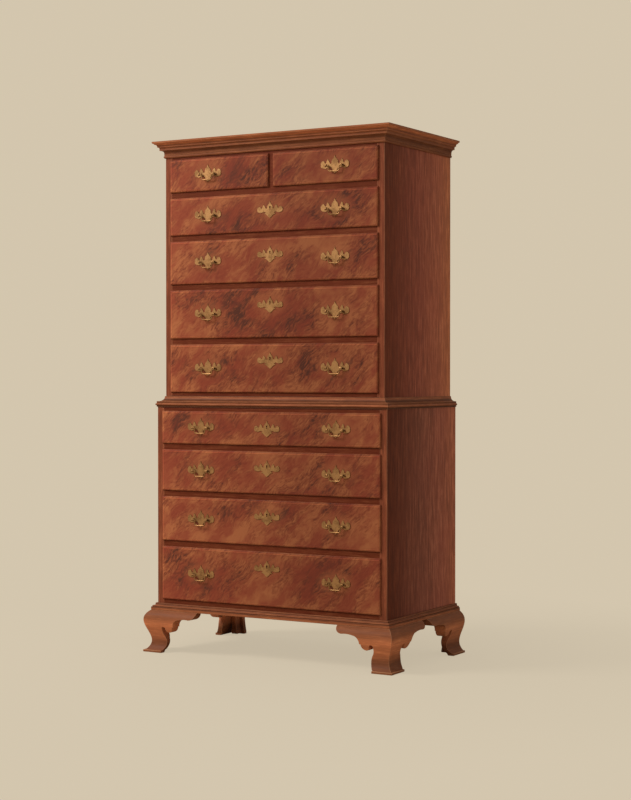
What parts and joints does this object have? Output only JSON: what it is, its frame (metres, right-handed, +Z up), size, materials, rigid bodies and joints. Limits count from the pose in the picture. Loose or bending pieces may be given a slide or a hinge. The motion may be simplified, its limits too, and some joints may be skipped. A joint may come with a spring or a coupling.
{
  "type": "chest-on-chest",
  "caption": "Tall two-part chest of drawers with a stepped cornice, waist and base mouldings, lipped drawers, batwing brasses and scrolled ogee bracket feet.",
  "frame": {"origin": "on the floor, under the middle of the whole, side to side and front to back", "axes": "+Z up, the drawers face -Y, +X to the right of someone facing the front"},
  "size_m": [1.066, 0.592, 1.93],
  "materials": {
    "walnut": "oiled and waxed, satin",
    "figured_walnut": "oiled and waxed, satin",
    "secondary_wood": "unfinished, sawn and planed",
    "brass": "aged, softly polished"
  },
  "bodies": {
    "lower_case": {"lower_sides": "walnut", "lower_top_and_bottom": "secondary_wood", "lower_backboards": "secondary_wood", "lower_drawer_frames": "walnut", "waist_moulding": "walnut", "base_moulding": "walnut", "bracket_feet": "walnut"},
    "upper_case": {"upper_sides": "walnut", "upper_top_and_bottom": "secondary_wood", "upper_backboards": "secondary_wood", "upper_drawer_frames": "walnut", "cornice_moulding": "walnut"},
    "drawer_1": {"drawer_1_front": "figured_walnut", "drawer_1_box": "secondary_wood", "drawer_1_brasses": "brass"},
    "drawer_1_bail": {"drawer_1_bail": "brass"},
    "drawer_2": {"drawer_2_front": "figured_walnut", "drawer_2_box": "secondary_wood", "drawer_2_brasses": "brass"},
    "drawer_2_bail": {"drawer_2_bail": "brass"},
    "drawer_3": {"drawer_3_front": "figured_walnut", "drawer_3_box": "secondary_wood", "drawer_3_brasses": "brass"},
    "drawer_3_left_bail": {"drawer_3_left_bail": "brass"},
    "drawer_3_right_bail": {"drawer_3_right_bail": "brass"},
    "drawer_4": {"drawer_4_front": "figured_walnut", "drawer_4_box": "secondary_wood", "drawer_4_brasses": "brass"},
    "drawer_4_left_bail": {"drawer_4_left_bail": "brass"},
    "drawer_4_right_bail": {"drawer_4_right_bail": "brass"},
    "drawer_5": {"drawer_5_front": "figured_walnut", "drawer_5_box": "secondary_wood", "drawer_5_brasses": "brass"},
    "drawer_5_left_bail": {"drawer_5_left_bail": "brass"},
    "drawer_5_right_bail": {"drawer_5_right_bail": "brass"},
    "drawer_6": {"drawer_6_front": "figured_walnut", "drawer_6_box": "secondary_wood", "drawer_6_brasses": "brass"},
    "drawer_6_left_bail": {"drawer_6_left_bail": "brass"},
    "drawer_6_right_bail": {"drawer_6_right_bail": "brass"},
    "drawer_7": {"drawer_7_front": "figured_walnut", "drawer_7_box": "secondary_wood", "drawer_7_brasses": "brass"},
    "drawer_7_left_bail": {"drawer_7_left_bail": "brass"},
    "drawer_7_right_bail": {"drawer_7_right_bail": "brass"},
    "drawer_8": {"drawer_8_front": "figured_walnut", "drawer_8_box": "secondary_wood", "drawer_8_brasses": "brass"},
    "drawer_8_left_bail": {"drawer_8_left_bail": "brass"},
    "drawer_8_right_bail": {"drawer_8_right_bail": "brass"},
    "drawer_9": {"drawer_9_front": "figured_walnut", "drawer_9_box": "secondary_wood", "drawer_9_brasses": "brass"},
    "drawer_9_left_bail": {"drawer_9_left_bail": "brass"},
    "drawer_9_right_bail": {"drawer_9_right_bail": "brass"},
    "drawer_10": {"drawer_10_front": "figured_walnut", "drawer_10_box": "secondary_wood", "drawer_10_brasses": "brass"},
    "drawer_10_left_bail": {"drawer_10_left_bail": "brass"},
    "drawer_10_right_bail": {"drawer_10_right_bail": "brass"}
  },
  "joints": [
    {"name": "upper_case_lift", "type": "slide", "parent": "lower_case", "child": "upper_case", "axis": [0, 0, 1], "range_m": [0, 0.08]},
    {"name": "drawer_1_slide", "type": "slide", "parent": "upper_case", "child": "drawer_1", "axis": [0, -1, 0], "range_m": [0, 0.38]},
    {"name": "drawer_1_bail_swing", "type": "hinge", "parent": "drawer_1", "child": "drawer_1_bail", "pos_m": [-0.273, -0.2491, 1.7975], "axis": [-1, 0, 0], "range_deg": [0, 120]},
    {"name": "drawer_2_slide", "type": "slide", "parent": "upper_case", "child": "drawer_2", "axis": [0, -1, 0], "range_m": [0, 0.38]},
    {"name": "drawer_2_bail_swing", "type": "hinge", "parent": "drawer_2", "child": "drawer_2_bail", "pos_m": [0.273, -0.2491, 1.7975], "axis": [-1, 0, 0], "range_deg": [0, 120]},
    {"name": "drawer_3_slide", "type": "slide", "parent": "upper_case", "child": "drawer_3", "axis": [0, -1, 0], "range_m": [0, 0.38]},
    {"name": "drawer_3_left_bail_swing", "type": "hinge", "parent": "drawer_3", "child": "drawer_3_left_bail", "pos_m": [-0.273, -0.2491, 1.6435], "axis": [-1, 0, 0], "range_deg": [0, 120]},
    {"name": "drawer_3_right_bail_swing", "type": "hinge", "parent": "drawer_3", "child": "drawer_3_right_bail", "pos_m": [0.273, -0.2491, 1.6435], "axis": [-1, 0, 0], "range_deg": [0, 120]},
    {"name": "drawer_4_slide", "type": "slide", "parent": "upper_case", "child": "drawer_4", "axis": [0, -1, 0], "range_m": [0, 0.38]},
    {"name": "drawer_4_left_bail_swing", "type": "hinge", "parent": "drawer_4", "child": "drawer_4_left_bail", "pos_m": [-0.273, -0.2491, 1.47], "axis": [-1, 0, 0], "range_deg": [0, 120]},
    {"name": "drawer_4_right_bail_swing", "type": "hinge", "parent": "drawer_4", "child": "drawer_4_right_bail", "pos_m": [0.273, -0.2491, 1.47], "axis": [-1, 0, 0], "range_deg": [0, 120]},
    {"name": "drawer_5_slide", "type": "slide", "parent": "upper_case", "child": "drawer_5", "axis": [0, -1, 0], "range_m": [0, 0.38]},
    {"name": "drawer_5_left_bail_swing", "type": "hinge", "parent": "drawer_5", "child": "drawer_5_left_bail", "pos_m": [-0.273, -0.2491, 1.276], "axis": [-1, 0, 0], "range_deg": [0, 120]},
    {"name": "drawer_5_right_bail_swing", "type": "hinge", "parent": "drawer_5", "child": "drawer_5_right_bail", "pos_m": [0.273, -0.2491, 1.276], "axis": [-1, 0, 0], "range_deg": [0, 120]},
    {"name": "drawer_6_slide", "type": "slide", "parent": "upper_case", "child": "drawer_6", "axis": [0, -1, 0], "range_m": [0, 0.38]},
    {"name": "drawer_6_left_bail_swing", "type": "hinge", "parent": "drawer_6", "child": "drawer_6_left_bail", "pos_m": [-0.273, -0.2491, 1.073], "axis": [-1, 0, 0], "range_deg": [0, 120]},
    {"name": "drawer_6_right_bail_swing", "type": "hinge", "parent": "drawer_6", "child": "drawer_6_right_bail", "pos_m": [0.273, -0.2491, 1.073], "axis": [-1, 0, 0], "range_deg": [0, 120]},
    {"name": "drawer_7_slide", "type": "slide", "parent": "lower_case", "child": "drawer_7", "axis": [0, -1, 0], "range_m": [0, 0.38]},
    {"name": "drawer_7_left_bail_swing", "type": "hinge", "parent": "drawer_7", "child": "drawer_7_left_bail", "pos_m": [-0.29, -0.2716, 0.8515], "axis": [-1, 0, 0], "range_deg": [0, 120]},
    {"name": "drawer_7_right_bail_swing", "type": "hinge", "parent": "drawer_7", "child": "drawer_7_right_bail", "pos_m": [0.29, -0.2716, 0.8515], "axis": [-1, 0, 0], "range_deg": [0, 120]},
    {"name": "drawer_8_slide", "type": "slide", "parent": "lower_case", "child": "drawer_8", "axis": [0, -1, 0], "range_m": [0, 0.38]},
    {"name": "drawer_8_left_bail_swing", "type": "hinge", "parent": "drawer_8", "child": "drawer_8_left_bail", "pos_m": [-0.29, -0.2716, 0.6905], "axis": [-1, 0, 0], "range_deg": [0, 120]},
    {"name": "drawer_8_right_bail_swing", "type": "hinge", "parent": "drawer_8", "child": "drawer_8_right_bail", "pos_m": [0.29, -0.2716, 0.6905], "axis": [-1, 0, 0], "range_deg": [0, 120]},
    {"name": "drawer_9_slide", "type": "slide", "parent": "lower_case", "child": "drawer_9", "axis": [0, -1, 0], "range_m": [0, 0.38]},
    {"name": "drawer_9_left_bail_swing", "type": "hinge", "parent": "drawer_9", "child": "drawer_9_left_bail", "pos_m": [-0.29, -0.2716, 0.5075], "axis": [-1, 0, 0], "range_deg": [0, 120]},
    {"name": "drawer_9_right_bail_swing", "type": "hinge", "parent": "drawer_9", "child": "drawer_9_right_bail", "pos_m": [0.29, -0.2716, 0.5075], "axis": [-1, 0, 0], "range_deg": [0, 120]},
    {"name": "drawer_10_slide", "type": "slide", "parent": "lower_case", "child": "drawer_10", "axis": [0, -1, 0], "range_m": [0, 0.38]},
    {"name": "drawer_10_left_bail_swing", "type": "hinge", "parent": "drawer_10", "child": "drawer_10_left_bail", "pos_m": [-0.29, -0.2716, 0.3015], "axis": [-1, 0, 0], "range_deg": [0, 120]},
    {"name": "drawer_10_right_bail_swing", "type": "hinge", "parent": "drawer_10", "child": "drawer_10_right_bail", "pos_m": [0.29, -0.2716, 0.3015], "axis": [-1, 0, 0], "range_deg": [0, 120]}
  ]
}
